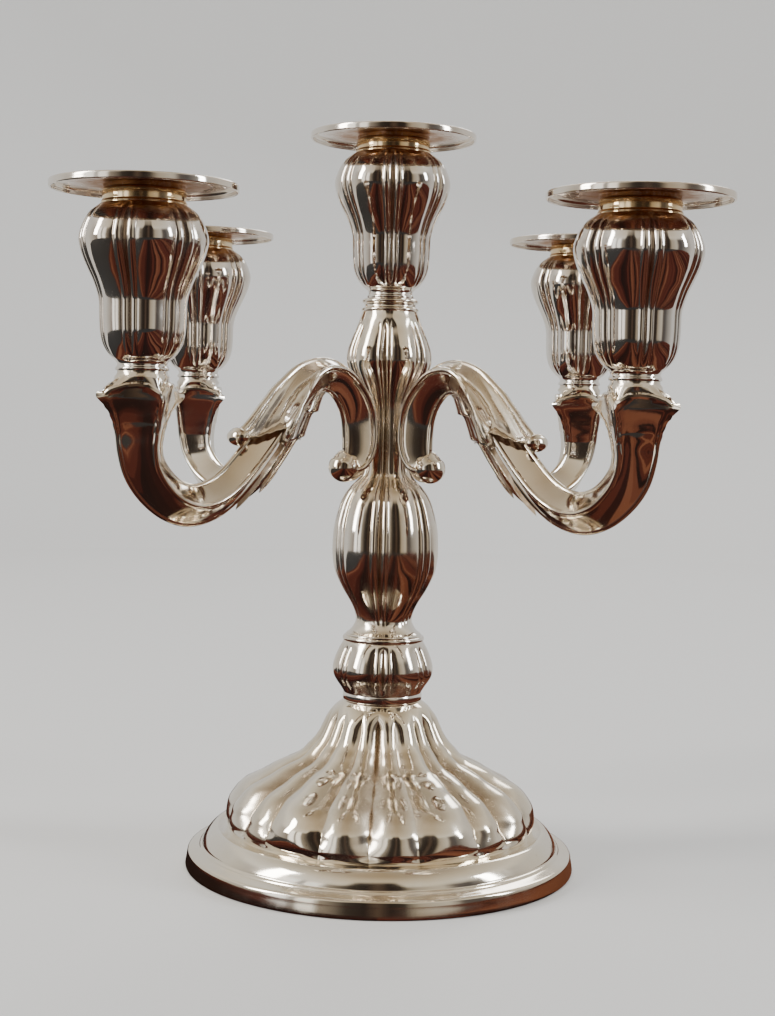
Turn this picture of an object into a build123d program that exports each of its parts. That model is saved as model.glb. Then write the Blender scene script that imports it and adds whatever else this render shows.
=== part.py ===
from build123d import *
import math
import os

# Five-light silver candelabrum. Millimetres, +Z up.
# Origin: centre of the underside. The four arms lie along +X, +Y, -X and -Y.

# ---- driving dimensions: foot ----
FOOT_R = 77.6  # rim radius
RIM_H = 6.0  # height of the vertical rim band
FOOT_H = 66.5  # underside to the top of the foot's neck
FOOT_NECK_R = 15.2
DOME_R = 62.0  # radius of the dome where it meets the step
FOOT_WALL = 1.4
FELT_T = 1.0
PLATE_T = 1.5
PLATE_CLEARANCE = 0.4  # radial, plate to rim
FELT_MARGIN = 2.0  # radial, felt edge inside the plate edge
BALLAST_GAP = 0.5  # ballast to the foot's wall
BALLAST_H = 24.0  # height of the ballast above the plate
BALLAST_HOLE_R = 14.0  # access to the nut

# ---- driving dimensions: knop, ring and stem ----
KNOP_H = 24.1
KNOP_R = 20.0
RING_H = 1.6
RING_R = 16.2
RING_WIDTH = 3.5
STEM_H = 128.6
STEM_FOOT_R = 15.0
STEM_NECK_R = 11.2  # the narrow place under the lower bulb
LOWER_BULB_R = 21.2
WAIST_R = 8.8
WAIST_LOW = 68.8  # the cylindrical waist, measured from the stem's foot
WAIST_HIGH = 91.5
UPPER_BULB_R = 16.9
STEM_TOP_R = 10.9
SHELL_WALL = 1.2  # wall of knop, stem and sockets
CAP_RING_H = 5.2
CAP_RING_R = 10.4

# ---- driving dimensions: arms ----
ARM_COUNT = 4
ARM_REACH = 120.4  # candelabrum axis to an arm socket's axis
ARM_RISE = 22.15  # from the arm's pin up to the top of the capital
ARM_DROP = 47.2  # from the top of the capital down to the crook's centreline
HOOK_BITE = 0.2  # how deep the waist cuts into the hook's inner edge
HOOK_HALF = 8.0  # half diagonal of the square section at the hook
ARCH_HALF = 6.6
CROOK_HALF = 7.4
RISER_HALF = 9.4
CAPITAL_HALF = 18.4  # half diagonal across the capital's corners
CAPITAL_NECK_R = 8.6
VOLUTE_R = 5.7
LEAF_EXTRA = 3.2  # how far the leaf wrap stands out from the arm's section
LEAF_CURL_R = 3.2
PIN_R = 1.5
PIN_LENGTH = 9.0
PIN_INSET = 2.0  # how far a pin reaches inside the waist

# ---- driving dimensions: sockets, candle tubes and drip pans ----
SOCKET_H = 61.7
SOCKET_FOOT_R = 9.2
SOCKET_NECK_R = 8.8
SOCKET_BELLY_R = 15.3
SOCKET_BULGE_R = 22.7
SOCKET_BULGE_DROP = 12.3  # from the shoulder under the mouth down to the bulge
MOUTH_WALL = 2.0  # of the neck ring that the pan stands on
MOUTH_H = 5.0
SOCKET_FLOOR = 7.0  # solid metal over the socket's foot
CANDLE_BORE_R = 11.3  # takes a 22 mm candle
TUBE_WALL = 0.9
TUBE_DEPTH = 26.0  # pan top to the underside of the tube
TUBE_FLOOR = 1.2
LIFT_CLEARANCE = 0.3  # radial, tube to socket mouth
SEAT_GAP = 0.1  # pan hub over the socket's mouth
PAN_R = 32.5
PAN_T = 0.9
PAN_RIM_H = 2.65
PAN_RIM_T = 0.9
PAN_HUB_WALL = 1.4
PAN_HUB_H = 1.5

# ---- driving dimensions: fasteners ----
ROD_R = 2.5
ROD_CLEARANCE = 0.3
ROD_TAIL = 2.0  # thread that shows below the nut
ROD_HEAD_R = 4.5
ROD_HEAD_H = 3.0
NUT_R = 4.6  # across the corners
NUT_H = 5.0
WASHER_R = 10.0
WASHER_T = 1.5
SCREW_R = 2.0
SCREW_HEAD_R = 3.6
SCREW_HEAD_H = 2.4
SCREW_GRIP = 9.0  # thread inside the capital

# ---- heights that follow from the sizes above ----
PLATE_TOP = FELT_T + PLATE_T
KNOP_Z = FOOT_H
RING_Z = KNOP_Z + KNOP_H
STEM_Z = RING_Z + RING_H
CAP_RING_Z = STEM_Z + STEM_H
CENTRE_SEAT_Z = CAP_RING_Z + CAP_RING_H
TUBE_R = CANDLE_BORE_R + TUBE_WALL
MOUTH_BORE_R = TUBE_R + LIFT_CLEARANCE
MOUTH_R = MOUTH_BORE_R + MOUTH_WALL
PAN_HUB_R = TUBE_R + PAN_HUB_WALL
PAN_TOP = SOCKET_H + SEAT_GAP + PAN_HUB_H + PAN_T  # above the socket's foot
PIN_Z = STEM_Z + (WAIST_LOW + WAIST_HIGH) / 2
ARM_SEAT_Z = PIN_Z + ARM_RISE  # top of the capital, where the socket stands
HOOK_U = WAIST_R + HOOK_HALF - HOOK_BITE  # radius of the hook's centreline beside the waist

parts = {}


def turned(outline):
    """A solid turned about Z from edges that run round a half section in the XZ plane."""
    face = make_face(Wire(outline))
    return revolve(face, Axis.Z, 360)


def polygon_turned(points):
    """A solid turned about Z from straight lines between (radius, z) points."""
    corners = [Vector(r, 0, z) for r, z in points]
    return turned(Polyline(*corners, close=True).edges())


def curve(points):
    """A smooth curve through (radius, z) points."""
    return Spline(*[Vector(r, 0, z) for r, z in points])


def line(start, end):
    return Line((start[0], 0, start[1]), (end[0], 0, end[1]))


def joined_curves(stretches):
    """Edges for stretches of (radius, z) points: two points make a line, more a smooth curve."""
    return [line(*s) if len(s) == 2 else curve(s) for s in stretches]


def hollow_turned(stretches, wall):
    """A turned tube with open ends whose outside follows the stretches, upwards."""
    outside = joined_curves(stretches)
    inner = [[(r - wall, z) for r, z in s] for s in stretches]
    inside = joined_curves(inner)
    low = line(inner[0][0], stretches[0][0])
    high = line(stretches[-1][-1], inner[-1][-1])
    return turned(outside + inside + [low, high])


def rod(radius, low, high):
    return Pos(0, 0, low) * Cylinder(radius, high - low, align=(Align.CENTER, Align.CENTER, Align.MIN))


# ---- foot ----
def foot_outline():
    """(radius, z) stretches of the foot's outside, from the rim's top to the neck's top."""
    rim_step = FOOT_R - 0.6
    step_r = DOME_R + 8.5
    flange = [(rim_step, RIM_H + 0.6), (step_r + 1.5, RIM_H + 1.6)]
    step = [flange[-1], (step_r, RIM_H + 3.8), (DOME_R + 5.0, RIM_H + 8.2), (DOME_R + 1.0, RIM_H + 8.4)]
    bell = [
        step[-1],
        (DOME_R - 1.0, RIM_H + 17.5),
        (DOME_R * 0.86, FOOT_H * 0.507),
        (DOME_R * 0.56, FOOT_H * 0.647),
        (FOOT_NECK_R + 8.4, FOOT_H * 0.845),
        (FOOT_NECK_R, FOOT_H - 1.5),
    ]
    return [[(FOOT_R, RIM_H), (rim_step, RIM_H + 0.6)], flange, step, bell]


def foot_shell():
    stretches = foot_outline()
    w = FOOT_WALL
    inner = [[(r - w, z - w) for r, z in s] for s in stretches]
    web = FOOT_H - w
    hole = ROD_R + ROD_CLEARANCE
    outside = joined_curves(stretches)
    inside = joined_curves(inner)
    straight = [
        line((FOOT_R, 0), (FOOT_R, RIM_H)),
        line(stretches[-1][-1], (FOOT_NECK_R, FOOT_H)),
        line((FOOT_NECK_R, FOOT_H), (hole, FOOT_H)),
        line((hole, FOOT_H), (hole, web)),
        line((hole, web), (FOOT_NECK_R - w, web)),
        line((FOOT_NECK_R - w, web), inner[-1][-1]),
        line(inner[0][0], (FOOT_R - w, 0)),
        line((FOOT_R - w, 0), (FOOT_R, 0)),
    ]
    return turned(outside + inside + straight)


def foot_ballast():
    """The space inside the foot, less a gap, up to the ballast's top and round the nut's well."""
    step = FOOT_WALL + BALLAST_GAP
    stretches = [[(r - step, z - step) for r, z in s] for s in foot_outline()]
    low = stretches[0][0]
    high = stretches[-1][-1]
    closing = [
        line((0, 0), (low[0], 0)),
        line((low[0], 0), low),
        line(high, (0, high[1])),
        line((0, high[1]), (0, 0)),
    ]
    inside = turned(joined_curves(stretches) + closing)
    slab = rod(FOOT_R, PLATE_TOP, PLATE_TOP + BALLAST_H)
    return inside & slab - rod(BALLAST_HOLE_R, PLATE_TOP, PLATE_TOP + BALLAST_H)


parts["base_shell"] = foot_shell()
parts["base_ballast"] = foot_ballast()
PLATE_R = FOOT_R - FOOT_WALL - PLATE_CLEARANCE
parts["base_plate"] = rod(PLATE_R, FELT_T, PLATE_TOP)
parts["base_felt"] = rod(PLATE_R - FELT_MARGIN, 0, FELT_T)


# ---- knop, ring, stem and cap ring ----
def knop():
    z = KNOP_Z
    return hollow_turned([[
        (FOOT_NECK_R, z),
        (FOOT_NECK_R + 1.0, z + KNOP_H * 0.16),
        (KNOP_R, z + KNOP_H * 0.52),
        (KNOP_R * 0.9, z + KNOP_H * 0.82),
        (RING_R - 0.8, z + KNOP_H),
    ]], SHELL_WALL)


def stem_stretches():
    """Outside of the stem, from its flared foot over both bulbs to its top."""
    z = STEM_Z
    waist_low = z + WAIST_LOW
    waist_high = z + WAIST_HIGH
    top = z + STEM_H
    lower = [
        (STEM_FOOT_R, z),
        (STEM_NECK_R, z + WAIST_LOW * 0.09),
        (LOWER_BULB_R * 0.78, z + WAIST_LOW * 0.265),
        (LOWER_BULB_R, z + WAIST_LOW * 0.5),
        (LOWER_BULB_R * 0.9, z + WAIST_LOW * 0.73),
        (LOWER_BULB_R * 0.72, z + WAIST_LOW * 0.85),
        (WAIST_R + 1.0, z + WAIST_LOW * 0.945),
        (WAIST_R, waist_low),
    ]
    span = top - waist_high
    upper = [
        (WAIST_R, waist_high),
        (UPPER_BULB_R * 0.72, waist_high + span * 0.21),
        (UPPER_BULB_R, waist_high + span * 0.49),
        (UPPER_BULB_R * 0.87, waist_high + span * 0.75),
        (STEM_TOP_R, top),
    ]
    return [lower, [lower[-1], upper[0]], upper]


def stem():
    shell = hollow_turned(stem_stretches(), SHELL_WALL)
    return shell - all_pins()


def stem_envelope():
    """The stem's outside as one full solid, which the arms are cut back to."""
    stretches = stem_stretches()
    foot = stretches[0][0]
    top = stretches[-1][-1]
    closing = [line((0, foot[1]), foot), line(top, (0, top[1])), line((0, top[1]), (0, foot[1]))]
    return turned(joined_curves(stretches) + closing)


def arm_angles():
    return [360 / ARM_COUNT * k for k in range(ARM_COUNT)]


def pin():
    start = WAIST_R - PIN_INSET
    place = Pos(start, 0, PIN_Z) * Rot(0, 90, 0)
    return place * rod(PIN_R, 0, PIN_LENGTH)


def all_pins():
    return Part() + [Rot(0, 0, a) * pin() for a in arm_angles()]


parts["knop"] = knop()
parts["stem_ring"] = rod(RING_R, RING_Z, STEM_Z) - rod(RING_R - RING_WIDTH, RING_Z, STEM_Z)
parts["stem"] = stem()
parts["arm_pins"] = all_pins()
rod_hole = rod(ROD_R + ROD_CLEARANCE, CAP_RING_Z, CENTRE_SEAT_Z)
parts["cap_ring"] = rod(CAP_RING_R, CAP_RING_Z, CENTRE_SEAT_Z) - rod_hole


# ---- arms ----
def arm_stations():
    """(u, z, direction in degrees from +u, half diagonal) along the arm, from the volute outwards."""
    reach = ARM_REACH
    crook_u = reach - 21.0
    crook_z = ARM_SEAT_Z - ARM_DROP
    slope_u = (HOOK_U + crook_u) / 2
    return [
        (HOOK_U + 4.2, PIN_Z - 14.7, 130, HOOK_HALF * 0.5),
        (HOOK_U + 0.3, PIN_Z - 8.3, 98, HOOK_HALF * 0.92),
        (HOOK_U, PIN_Z + 0.7, 90, HOOK_HALF),
        (HOOK_U + 2.4, PIN_Z + 10.7, 68, HOOK_HALF * 0.95),
        (HOOK_U + 9.6, PIN_Z + 19.5, 34, ARCH_HALF),
        (HOOK_U + 19.0, PIN_Z + 23.1, 0, ARCH_HALF),
        (HOOK_U + 29.5, PIN_Z + 18.7, -40, ARCH_HALF + 0.4),
        (slope_u + 1.5, (PIN_Z + 18.7 + crook_z) / 2 + 6.5, -48, CROOK_HALF),
        (crook_u - 18.0, crook_z + 7.6, -38, CROOK_HALF),
        (crook_u, crook_z, 0, CROOK_HALF),
        (reach - 6.0, crook_z + 7.6, 48, CROOK_HALF * 1.12),
        (reach + 0.6, crook_z + 18.5, 82, RISER_HALF),
        (reach + 0.8, crook_z + 28.5, 90, RISER_HALF * 1.22),
        (reach, crook_z + 36.0, 90, CAPITAL_HALF * 0.82),
        (reach, crook_z + 38.6, 90, CAPITAL_HALF),
    ]


def square_section(u, z, direction, half):
    """A square standing on its corner, across the arm's run."""
    a = math.radians(direction)
    across = Vector(-math.sin(a), 0, math.cos(a))
    centre = Vector(u, 0, z)
    side = Vector(0, 1, 0)
    corners = [centre + across * half, centre + side * half, centre - across * half, centre - side * half]
    return make_face(Polyline(*corners, close=True).edges())


def lofted(stations):
    return loft([square_section(*s) for s in stations])


def arm():
    stations = arm_stations()
    body = lofted(stations)
    lip = stations[-1]
    shoulder = (ARM_REACH, ARM_SEAT_Z - 3.6, 90, CAPITAL_NECK_R * 1.25)
    body += lofted([lip, shoulder])
    neck_low = lip[1] - 2.0
    body += Pos(ARM_REACH, 0, 0) * rod(CAPITAL_NECK_R, neck_low, ARM_SEAT_Z)
    body += Pos(HOOK_U + 6.0, 0, PIN_Z - 12.8) * Sphere(VOLUTE_R)
    leaf = [(u, z, a, half + LEAF_EXTRA) for u, z, a, half in stations[6:8]]
    body += lofted(leaf)
    curl_u, curl_z = leaf[-1][0] + 17.0, leaf[-1][1] - 3.0
    body += Pos(curl_u, 0, curl_z) * Sphere(LEAF_CURL_R)
    body -= stem_envelope()
    body -= pin()
    body -= Pos(ARM_REACH, 0, 0) * rod(SCREW_R, ARM_SEAT_Z - SCREW_GRIP, ARM_SEAT_Z)
    return body


ARM = arm()
for number, angle in enumerate(arm_angles(), start=1):
    parts[f"arm_{number}"] = Rot(0, 0, angle) * ARM


# ---- sockets, with their tubes and pans, drawn standing on z = 0 ----
def socket_outline():
    shoulder = SOCKET_H - MOUTH_H
    bulge = shoulder - SOCKET_BULGE_DROP
    return [
        [
            (SOCKET_FOOT_R, 0),
            (SOCKET_NECK_R, 2.2),
            (SOCKET_BELLY_R * 0.72, 5.4),
            (SOCKET_BELLY_R * 0.95, 10.5),
            (SOCKET_BELLY_R, 19.5),
            (SOCKET_BELLY_R * 1.06, bulge - 17.5),
            (SOCKET_BULGE_R * 0.94, bulge - 5.8),
            (SOCKET_BULGE_R, bulge),
            (SOCKET_BULGE_R * 0.93, bulge + 6.0),
            (MOUTH_R, shoulder),
        ],
        [(MOUTH_R, shoulder), (MOUTH_R, SOCKET_H)],
    ]


def socket_cavity():
    """The hollow inside a socket: the outline less the wall, then the bore of the mouth."""
    floor = (SOCKET_FOOT_R - 1.0, SOCKET_FLOOR)
    mouth = (MOUTH_BORE_R, SOCKET_H - MOUTH_H - SHELL_WALL)
    inner = [(r - SHELL_WALL, z) for r, z in socket_outline()[0][3:-1]]
    stretches = [
        [(0, SOCKET_FLOOR), floor],
        [floor, *inner, mouth],
        [mouth, (MOUTH_BORE_R, SOCKET_H)],
        [(MOUTH_BORE_R, SOCKET_H), (0, SOCKET_H)],
        [(0, SOCKET_H), (0, SOCKET_FLOOR)],
    ]
    return turned(joined_curves(stretches))


def socket(hole_r):
    stretches = socket_outline()
    closing = [
        line((0, 0), stretches[0][0]),
        line(stretches[-1][-1], (0, SOCKET_H)),
        line((0, SOCKET_H), (0, 0)),
    ]
    body = turned(joined_curves(stretches) + closing)
    return body - socket_cavity() - rod(hole_r, 0, SOCKET_FLOOR)


def candle_tube():
    low = PAN_TOP - TUBE_DEPTH
    return rod(TUBE_R, low, PAN_TOP) - rod(CANDLE_BORE_R, low + TUBE_FLOOR, PAN_TOP)


def drip_pan():
    under = PAN_TOP - PAN_T
    return polygon_turned([
        (TUBE_R, PAN_TOP),
        (PAN_R, PAN_TOP),
        (PAN_R, PAN_TOP - PAN_RIM_H),
        (PAN_R - PAN_RIM_T, PAN_TOP - PAN_RIM_H),
        (PAN_R - PAN_RIM_T, under),
        (PAN_HUB_R, under),
        (PAN_HUB_R, under - PAN_HUB_H),
        (TUBE_R, under - PAN_HUB_H),
    ])


def socket_screw():
    head = rod(SCREW_HEAD_R, SOCKET_FLOOR, SOCKET_FLOOR + SCREW_HEAD_H)
    return head + rod(SCREW_R, -SCREW_GRIP, SOCKET_FLOOR)


places = {"centre": Pos(0, 0, CENTRE_SEAT_Z)}
for number, angle in enumerate(arm_angles(), start=1):
    places[str(number)] = Rot(0, 0, angle) * Pos(ARM_REACH, 0, ARM_SEAT_Z)

for name, place in places.items():
    hole = ROD_R + ROD_CLEARANCE if name == "centre" else SCREW_R
    parts[f"socket_{name}"] = place * socket(hole)
    parts[f"candle_tube_{name}"] = place * candle_tube()
    parts[f"drip_pan_{name}"] = place * drip_pan()
arm_places = [place for name, place in places.items() if name != "centre"]
parts["socket_screws"] = Part() + [place * socket_screw() for place in arm_places]


# ---- tie rod, washer and nut ----
WEB_Z = FOOT_H - FOOT_WALL
ROD_LOW = WEB_Z - WASHER_T - NUT_H - ROD_TAIL
ROD_TOP = CENTRE_SEAT_Z + SOCKET_FLOOR
parts["tie_rod"] = rod(ROD_R, ROD_LOW, ROD_TOP) + rod(ROD_HEAD_R, ROD_TOP, ROD_TOP + ROD_HEAD_H)
WASHER_Z = WEB_Z - WASHER_T
parts["tie_rod_washer"] = rod(WASHER_R, WASHER_Z, WEB_Z) - rod(ROD_R + ROD_CLEARANCE, WASHER_Z, WEB_Z)
NUT_Z = WASHER_Z - NUT_H
nut = extrude(RegularPolygon(NUT_R, 6), NUT_H)
parts["tie_rod_nut"] = Pos(0, 0, NUT_Z) * nut - rod(ROD_R, NUT_Z, NUT_Z + NUT_H)

# ---- write one STEP file for each piece ----
os.makedirs("parts", exist_ok=True)
for name, part in parts.items():
    export_step(part, f"parts/{name}.step")
    print(name, round(part.volume))
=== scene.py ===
"""Looks of the five-light silver candelabrum: fluted column, scrolled arms, cups and drip pans.

Lengths in the tables below are millimetres. Everything is put in metres when a mesh is made.
The camera and the soft light see a plain pale studio, but the metal does not reflect it: its
reflections are of a dark table and a room that nothing else shows (seen_in_metal).
"""

import math

import bpy
import numpy as np
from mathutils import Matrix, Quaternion, Vector


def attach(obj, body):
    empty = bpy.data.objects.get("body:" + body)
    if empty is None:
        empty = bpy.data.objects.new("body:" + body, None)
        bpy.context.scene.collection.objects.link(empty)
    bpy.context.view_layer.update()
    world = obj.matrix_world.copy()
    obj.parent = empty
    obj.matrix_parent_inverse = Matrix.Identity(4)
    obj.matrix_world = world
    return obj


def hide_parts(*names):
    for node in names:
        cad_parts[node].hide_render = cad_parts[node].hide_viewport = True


MM = 0.001

# ---- where the pieces stand, above the underside ----
KNOP_Z = 66.5
RING_Z = 90.6
STEM_Z = 92.2
CAP_RING_Z = 220.8
CENTRE_SEAT_Z = 226.0
ARM_SEAT_Z = 194.5
ARM_REACH = 120.4
ARM_ANGLES = (0, 90, 180, 270)

# ---- fluting: six wide panels, with a pair of ribs between each two ----
PANELS = 6
PANEL_HALF = 19.0  # degrees, from a panel's middle to the crease beside it
FOOT_PANEL_HALF = 12.0
PERIOD = 360 / PANELS
CREASE_SINK = 0.5  # share of the groove's depth
RIB_RISE = 0.5

# ---- how the fluting is turned, in degrees ----
GROOVE_TURN = -15.0  # a groove then stands midway between arms 4 and 1
FOOT_TURN = GROOVE_TURN - 3.7
KNOP_TURN = GROOVE_TURN + 0.5
STEM_TURN = GROOVE_TURN - 7
CUP_TURNS = {"centre": 0.0, "1": 4.0, "2": 0.0, "3": 0.0, "4": -10.0}  # beyond GROOVE_TURN
PLAIN_STEP = 3.75  # between the columns of a piece without fluting

# ---- turned outlines: (radius, height) ----
FOOT_BELL = [
    (15.2, 66.5), (16.4, 65.7), (18.2, 64.4), (20.1, 62.4), (22.0, 59.7), (23.5, 56.5),
    (25.1, 53.2), (27.0, 50.4), (29.3, 48.0), (32.0, 45.1), (35.2, 42.9), (39.2, 41.2),
    (43.2, 39.2), (46.9, 36.9), (51.3, 34.7), (54.7, 32.9), (57.2, 30.8), (59.4, 28.0),
    (61.1, 25.2), (61.8, 22.2), (62.0, 18.3), (61.6, 16.4), (61.0, 15.3),
]
BALLAST = [
    (14.2, 2.6), (64.5, 2.6), (65.5, 5.5), (64.5, 9.0), (61.5, 12.0), (58.3, 14.5), (58.6, 18.0),
    (58.0, 22.0), (56.0, 25.8), (14.2, 25.8), (14.2, 2.6),
]
FOOT_STEP = [
    (63.6, 15.0), (65.0, 15.5), (66.2, 15.3), (67.6, 14.3), (69.4, 12.2), (70.6, 9.9),
    (70.9, 9.0), (71.6, 8.7), (72.1, 8.0), (73.2, 7.6), (74.8, 7.2), (75.9, 6.9),
    (76.5, 6.4), (76.75, 5.7), (77.0, 4.2), (77.3, 2.4), (77.5, 1.1), (77.52, 0.8), (77.2, 0.2),
    (75.0, 0.05),
]
KNOP = [
    (15.2, 0.0), (15.6, 0.3), (15.75, 0.8), (15.75, 2.6), (15.5, 3.2), (15.9, 4.0), (17.1, 5.8),
    (18.5, 7.8), (19.7, 10.2), (20.0, 12.9), (19.5, 15.7), (18.0, 19.7), (16.6, 22.4), (15.6, 24.1),
]
STEM = [
    (15.0, 0.0), (15.0, 0.8), (13.4, 2.1), (12.0, 4.1), (11.2, 6.1), (11.4, 8.1),
    (12.3, 10.9), (14.0, 14.2), (16.5, 18.2), (18.6, 22.2), (20.2, 26.2), (20.9, 30.2),
    (21.2, 34.2), (21.1, 38.2), (20.8, 42.2), (20.1, 46.2), (19.1, 50.2), (17.7, 54.2),
    (15.4, 58.2), (12.1, 61.6), (9.6, 64.6), (8.8, 68.8), (8.7, 80.0), (8.8, 91.5),
    (10.0, 94.8), (12.0, 98.8), (14.3, 102.8), (16.2, 106.6), (16.9, 109.7), (16.5, 113.7),
    (15.6, 116.4), (14.4, 119.6), (13.05, 122.7), (12.0, 125.5), (11.2, 127.6), (10.9, 128.6),
]
CUP = [
    (9.2, 0.0), (9.3, 0.7), (8.8, 1.5), (8.7, 2.3), (9.2, 3.2), (10.6, 4.3), (12.2, 6.0),
    (13.5, 8.0), (14.3, 10.0), (14.9, 12.6), (15.2, 16.0), (15.3, 19.2), (15.4, 23.1), (15.7, 25.0),
    (16.3, 27.2), (17.7, 30.9), (19.6, 34.8), (21.35, 38.7), (22.5, 42.6), (22.75, 44.5),
    (22.5, 46.5), (21.9, 48.4), (21.1, 50.4), (20.0, 52.3), (18.3, 54.2), (16.2, 55.7),
    (14.7, 56.7),
]
MOUTH = [
    (14.7, 56.7), (14.8, 57.0), (14.6, 57.4), (14.35, 57.7), (14.4, 58.4), (14.4, 60.9),
    (14.3, 61.4), (13.9, 61.7), (12.7, 61.7), (12.6, 61.2), (12.6, 56.0),
]
RING = [(15.2, -0.2), (16.0, 0.0), (16.2, 0.4), (16.2, 1.1), (15.9, 1.6), (15.0, 1.8), (12.7, 1.8)]
CAP_RING = [
    (10.9, 0.0), (11.2, 0.3), (11.2, 1.1), (10.5, 1.5), (10.1, 2.1), (10.1, 2.8), (10.6, 3.3),
    (11.0, 3.7), (11.0, 4.4), (10.2, 5.0), (9.6, 5.2), (8.5, 5.2),
]
PAN = [
    (12.4, 61.8), (13.6, 61.8), (14.0, 62.0), (14.05, 62.6), (14.1, 63.1), (14.6, 63.35),
    (20.0, 63.3), (28.0, 63.3), (31.2, 63.3), (31.55, 63.1), (31.6, 61.8), (31.8, 61.6),
    (32.2, 61.6), (32.44, 61.85), (32.48, 62.6), (32.44, 63.8), (32.2, 64.1), (31.6, 64.17),
    (28.0, 64.05), (20.0, 64.0), (14.5, 64.05), (12.8, 64.17), (12.25, 64.17),
]
PAN_MIDDLE = 63.7  # height between its underside and its top
PAN_DARKER_INSIDE_R = 29.0  # the underside is darker and browner inside it
PAN_DARKENING_FADE = 12.0  # from there in to the full darkening
TUBE = [
    (12.25, 64.12), (11.9, 64.17), (11.35, 64.1), (11.3, 63.6), (11.3, 50.0), (11.3, 39.8),
    (10.9, 39.45), (6.0, 39.4), (0.4, 39.4),
]
TUBE_OUT = [(0.4, 38.2), (11.6, 38.2), (12.2, 38.8), (12.2, 50.0), (12.2, 61.7)]

# ---- depth of the fluting along each outline: (height, share of the radius) ----
FOOT_FLUTES = [
    (15.3, 0.02), (18.0, 0.06), (24.0, 0.11), (32.0, 0.15), (45.0, 0.175), (57.0, 0.16), (65.2, 0.0),
]
KNOP_FLUTES = [(3.4, 0.0), (6.8, 0.09), (12.5, 0.1), (20.0, 0.095), (23.4, 0.0)]
STEM_FLUTES = [
    (4.0, 0.0), (9.0, 0.08), (16.0, 0.12), (40.0, 0.125), (60.0, 0.12), (68.0, 0.13),
    (91.0, 0.13), (100.0, 0.12), (113.0, 0.12), (121.0, 0.09), (125.8, 0.0),
]
CUP_FLUTES = [
    (3.6, 0.0), (7.5, 0.07), (12.0, 0.1), (24.0, 0.1), (40.0, 0.115), (52.0, 0.115), (54.8, 0.07),
    (56.6, 0.0),
]
FLUTE_TARNISH = 10  # how strongly the depth of a groove darkens it
STEP_GROOVE_R = 65  # the foot's step is darker inside it, beside the lobes

# ---- the arm: (u, z, half diagonal, side ridges' shift towards the top) from the scroll outwards ----
ARM_LINE = [
    (26.2, 160.6, 3.6, 0.0), (22.8, 159.8, 5.4, 0.8), (19.6, 160.8, 6.6, 1.6),
    (17.5, 163.9, 7.3, 2.2), (16.6, 168.2, 7.8, 2.8), (16.6, 173.5, 8.0, 3.0),
    (17.4, 179.0, 7.9, 3.2), (19.6, 184.6, 7.6, 3.3), (23.6, 189.9, 7.1, 3.3),
    (29.0, 193.9, 6.7, 3.2), (35.4, 195.3, 6.6, 2.6), (41.4, 193.9, 6.7, 1.6),
    (46.8, 190.3, 7.0, 0.7), (53.0, 183.6, 7.3, 0.2), (59.5, 175.7, 7.4, 0.0),
    (66.0, 167.9, 7.4, 0.0), (73.0, 160.6, 7.4, 0.0), (81.4, 153.3, 7.4, 0.0),
    (90.0, 148.6, 7.5, 0.0), (99.4, 147.2, 7.8, 0.0), (108.0, 149.9, 8.1, 0.0),
    (115.2, 155.6, 8.6, 0.0), (119.4, 161.6, 9.1, 0.0), (121.0, 168.0, 9.7, 0.0),
    (121.1, 172.5, 10.4, 0.0),
]
ARM_STEPS = 6  # rows between two of the points above
BEAD_R = 1.05  # the rounded ridge along each corner
BEAD_POINTS = 7
FACE_POINTS = 9
FACE_INSET = 0.07  # share of the half diagonal by which a face lies behind its ridges
FACE_BULGE = (0.16, 0.05, 0.05, 0.16)  # lower faces swell, upper ones are flatter

# ---- the capital: height and half widths of its edge from a spur to the notch at the side ----
EDGE = [
    (0.0, 184.6), (0.12, 185.5), (0.25, 186.8), (0.38, 187.9), (0.5, 188.3), (0.62, 188.0),
    (0.72, 186.6), (0.81, 184.0), (0.89, 180.0), (0.95, 176.4), (1.0, 173.7),
]
SPUR_R = [(172.5, 10.4), (176.0, 11.6), (179.5, 13.2), (182.5, 15.7), (184.6, 18.3), (188.5, 18.3)]
SIDE_R = [(172.5, 10.4), (176.0, 11.3), (180.0, 12.4), (184.0, 13.9), (188.5, 15.2)]
CAPITAL_ROWS = 12
CAPITAL_U = ARM_REACH + 0.35  # its middle
RISER_SHIFT = 0.4  # of the riser's top from that middle
NECK_SHIFT = -0.35  # of the neck from it
PINCH = 0.16  # how far the hollow sides sharpen the corners
PINCH_FROM = 174
PINCH_OVER = 12
LIP_R = 1.25
LIP_THINNING = 0.55  # share lost at the side notches
LIP_ANGLES = (-60, -20, 20, 60, 100, 130)
SLOPE_SHARES = (0.2, 0.4, 0.6, 0.8, 1.0)
NECK = [(9.5, 192.3), (8.7, 193.4), (8.6, 194.5)]

# ---- camera ----
CAMERA_AT = (0.4702, -0.4702, 0.1858)
CAMERA_AZIMUTH = 44.95
CAMERA_PITCH = 3.665
CAMERA_ROLL = 1.2
FOCAL_LENGTH = 59.3
SENSOR = 36  # over the picture's height


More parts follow.
